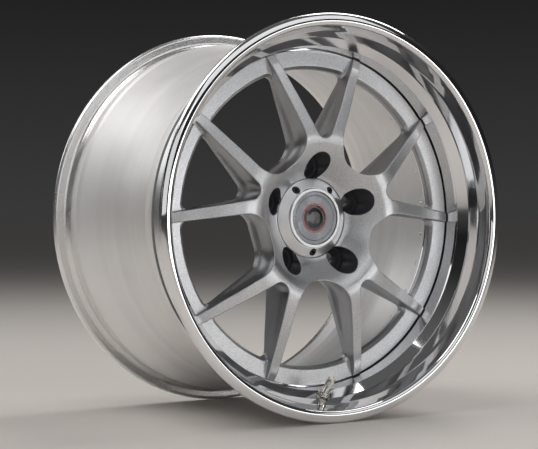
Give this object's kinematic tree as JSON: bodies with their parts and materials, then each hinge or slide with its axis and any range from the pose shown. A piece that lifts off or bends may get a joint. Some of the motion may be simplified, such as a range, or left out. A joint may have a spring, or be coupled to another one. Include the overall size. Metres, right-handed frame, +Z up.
{
  "type": "forged racing wheel rim",
  "caption": "Deep-dish multi-piece racing wheel without tyre: stepped lip, wide turned barrel, forged centre with V-shaped spokes, bolted hub cap and capped tyre valve.",
  "frame": {"origin": "centre of the wheel, half-way between the two flanges on the wheel's axis", "axes": "the wheel stands upright: +Y along the wheel's axis towards the car, -Y towards the street side, +Z up, the tyre valve at the bottom"},
  "size_m": [0.4966, 0.2976, 0.4966],
  "materials": {
    "polished_rim": "mirror polished",
    "turned_rim": "fine turned, clear coated",
    "satin_centre": "bead blasted, satin silver",
    "cap_metal": "turned and anodised",
    "bolt_steel": "zinc plated",
    "black_steel": "black oxide",
    "badge_grey": "gloss enamel",
    "badge_red": "gloss enamel",
    "nickel_brass": "nickel plated",
    "bare_brass": "turned",
    "rubber": "moulded",
    "red_seal": "moulded",
    "sealant": "smoothed silicone"
  },
  "bodies": {
    "wheel": {"outer_lip": "polished_rim", "inner_barrel": "turned_rim", "rim_seal": "sealant", "wheel_centre": "satin_centre", "assembly_bolts": "bolt_steel", "assembly_washers": "bolt_steel", "cap_ring": "cap_metal", "cap_o_ring": "rubber", "cap_screws": "black_steel", "badge_disc": "badge_grey", "badge_trim": "badge_red", "valve_stem": "nickel_brass", "valve_grommet": "rubber", "valve_washer": "nickel_brass", "valve_nut": "nickel_brass", "core_body": "bare_brass", "core_gasket": "red_seal", "core_spring": "bolt_steel"},
    "core": {"core_pin": "bare_brass", "core_cup": "rubber"},
    "cap_travel": {"cap_seal": "rubber"},
    "cap": {"valve_cap": "nickel_brass"}
  },
  "joints": [
    {"name": "core_press", "type": "slide", "parent": "wheel", "child": "core", "axis": [0.0134, -0.6428, 0.7659], "range_m": [-0.0012, 0], "stiffness_N_per_m": 400, "deforming": ["core_spring"]},
    {"name": "cap_lift", "type": "slide", "parent": "wheel", "child": "cap_travel", "axis": [0.0134, -0.6428, 0.7659], "range_m": [0, 0.00596]},
    {"name": "cap_turn", "type": "hinge", "parent": "cap_travel", "child": "cap", "pos_m": [-0.00358, -0.12221, -0.20529], "axis": [0.0134, -0.6428, 0.7659], "range_deg": [0, 2700]}
  ],
  "couplings": [
    {"joint": "cap_turn", "follows": "cap_lift", "rad_per_m": 7913.3}
  ]
}
